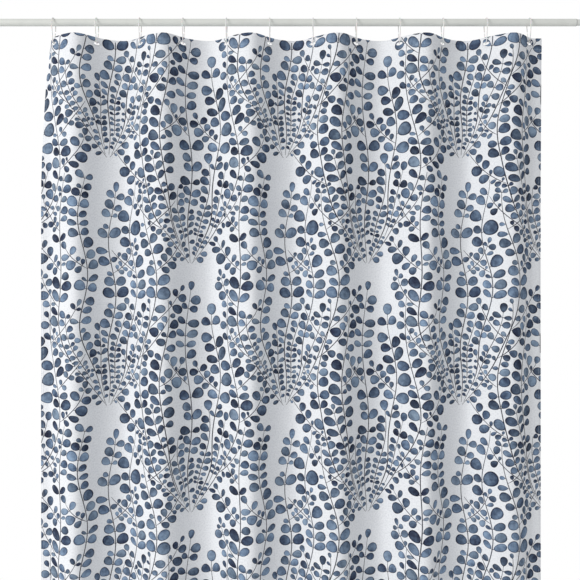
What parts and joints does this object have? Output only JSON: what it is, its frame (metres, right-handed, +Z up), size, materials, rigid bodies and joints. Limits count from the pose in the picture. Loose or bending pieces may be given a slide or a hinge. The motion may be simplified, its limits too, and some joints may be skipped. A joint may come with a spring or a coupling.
{
  "type": "shower curtain",
  "caption": "Folded cloth shower curtain with a blue leafy print, hung by open pear-shaped rings from a white telescopic tension rod.",
  "frame": {"origin": "centre of the left pad's wall face, on the rod's axis", "axes": "+X along the rod from the left wall to the right wall, +Z up, the printed face of the cloth looks towards -Y"},
  "size_m": [2, 0.0774, 2.0687],
  "materials": {
    "white_steel": "satin white powder coat",
    "white_plastic": "smooth moulded white",
    "grey_rubber": "matt light grey",
    "nylon": "natural nylon",
    "zinc_steel": "bright zinc",
    "ring_plastic": "milky white plastic",
    "printed_cloth": "off-white woven polyester printed with blue leafy stems",
    "white_thread": "white sewing thread"
  },
  "bodies": {
    "rod": {"outer_tube": "white_steel", "joint_bush": "white_plastic", "left_cap": "white_plastic", "left_pad": "grey_rubber"},
    "tension_core": {"friction_plug": "nylon", "tension_screw": "zinc_steel", "tension_spring": "zinc_steel"},
    "thrust_washer": {"spring_washer": "zinc_steel"},
    "sliding_tube": {"inner_tube": "white_steel", "screw_nut": "nylon", "right_cap": "white_plastic", "right_pad": "grey_rubber"},
    "curtain": {"curtain_panel": "printed_cloth", "header_hem": "printed_cloth", "bottom_hem": "printed_cloth", "left_hem": "printed_cloth", "right_hem": "printed_cloth", "buttonhole_stitching": "white_thread"},
    "hanger_01": {"ring_01": "ring_plastic"},
    "hanger_02": {"ring_02": "ring_plastic"},
    "hanger_03": {"ring_03": "ring_plastic"},
    "hanger_04": {"ring_04": "ring_plastic"},
    "hanger_05": {"ring_05": "ring_plastic"},
    "hanger_06": {"ring_06": "ring_plastic"},
    "hanger_07": {"ring_07": "ring_plastic"},
    "hanger_08": {"ring_08": "ring_plastic"},
    "hanger_09": {"ring_09": "ring_plastic"},
    "hanger_10": {"ring_10": "ring_plastic"},
    "hanger_11": {"ring_11": "ring_plastic"},
    "hanger_12": {"ring_12": "ring_plastic"}
  },
  "joints": [
    {"name": "rod_length", "type": "slide", "parent": "rod", "child": "tension_core", "axis": [1, 0, 0], "range_m": [-0.1, 0.45]},
    {"name": "spring_squeeze", "type": "slide", "parent": "tension_core", "child": "thrust_washer", "axis": [1, 0, 0], "range_m": [-0.0041, 0.0041], "deforming": ["tension_spring"]},
    {"name": "tube_twist", "type": "hinge", "parent": "thrust_washer", "child": "sliding_tube", "pos_m": [1.2, 0, 0], "axis": [1, 0, 0], "range_deg": [-720, 720]},
    {"name": "curtain_slide", "type": "slide", "parent": "rod", "child": "hanger_01", "axis": [1, 0, 0], "range_m": [-0.17, 0.2]},
    {"name": "draw", "type": "slide", "parent": "hanger_01", "child": "hanger_12", "axis": [1, 0, 0], "range_m": [-0.85, 0], "deforming": ["curtain_panel", "header_hem", "bottom_hem", "left_hem", "right_hem", "buttonhole_stitching"]},
    {"name": "ring_slide_02", "type": "slide", "parent": "hanger_01", "child": "hanger_02", "axis": [1, 0, 0], "range_m": [-0.07827, 0.0005]},
    {"name": "ring_slide_03", "type": "slide", "parent": "hanger_01", "child": "hanger_03", "axis": [1, 0, 0], "range_m": [-0.15554, 0.0005]},
    {"name": "ring_slide_04", "type": "slide", "parent": "hanger_01", "child": "hanger_04", "axis": [1, 0, 0], "range_m": [-0.23282, 0.0005]},
    {"name": "ring_slide_05", "type": "slide", "parent": "hanger_01", "child": "hanger_05", "axis": [1, 0, 0], "range_m": [-0.31009, 0.0005]},
    {"name": "ring_slide_06", "type": "slide", "parent": "hanger_01", "child": "hanger_06", "axis": [1, 0, 0], "range_m": [-0.38736, 0.0005]},
    {"name": "ring_slide_07", "type": "slide", "parent": "hanger_01", "child": "hanger_07", "axis": [1, 0, 0], "range_m": [-0.46464, 0.0005]},
    {"name": "ring_slide_08", "type": "slide", "parent": "hanger_01", "child": "hanger_08", "axis": [1, 0, 0], "range_m": [-0.54191, 0.0005]},
    {"name": "ring_slide_09", "type": "slide", "parent": "hanger_01", "child": "hanger_09", "axis": [1, 0, 0], "range_m": [-0.61918, 0.0005]},
    {"name": "ring_slide_10", "type": "slide", "parent": "hanger_01", "child": "hanger_10", "axis": [1, 0, 0], "range_m": [-0.69646, 0.0005]},
    {"name": "ring_slide_11", "type": "slide", "parent": "hanger_01", "child": "hanger_11", "axis": [1, 0, 0], "range_m": [-0.77373, 0.0005]},
    {"name": "curtain_swing", "type": "hinge", "parent": "hanger_01", "child": "curtain", "pos_m": [0.252, 0, -0.0635], "axis": [1, 0, 0], "range_deg": [-12, 12]}
  ],
  "couplings": [
    {"joint": "spring_squeeze", "follows": "tube_twist", "m_per_rad": 0.00031831},
    {"joint": "ring_slide_02", "follows": "draw", "ratio": 0.090909},
    {"joint": "ring_slide_03", "follows": "draw", "ratio": 0.18182},
    {"joint": "ring_slide_04", "follows": "draw", "ratio": 0.27273},
    {"joint": "ring_slide_05", "follows": "draw", "ratio": 0.36364},
    {"joint": "ring_slide_06", "follows": "draw", "ratio": 0.45455},
    {"joint": "ring_slide_07", "follows": "draw", "ratio": 0.54545},
    {"joint": "ring_slide_08", "follows": "draw", "ratio": 0.63636},
    {"joint": "ring_slide_09", "follows": "draw", "ratio": 0.72727},
    {"joint": "ring_slide_10", "follows": "draw", "ratio": 0.81818},
    {"joint": "ring_slide_11", "follows": "draw", "ratio": 0.90909}
  ]
}
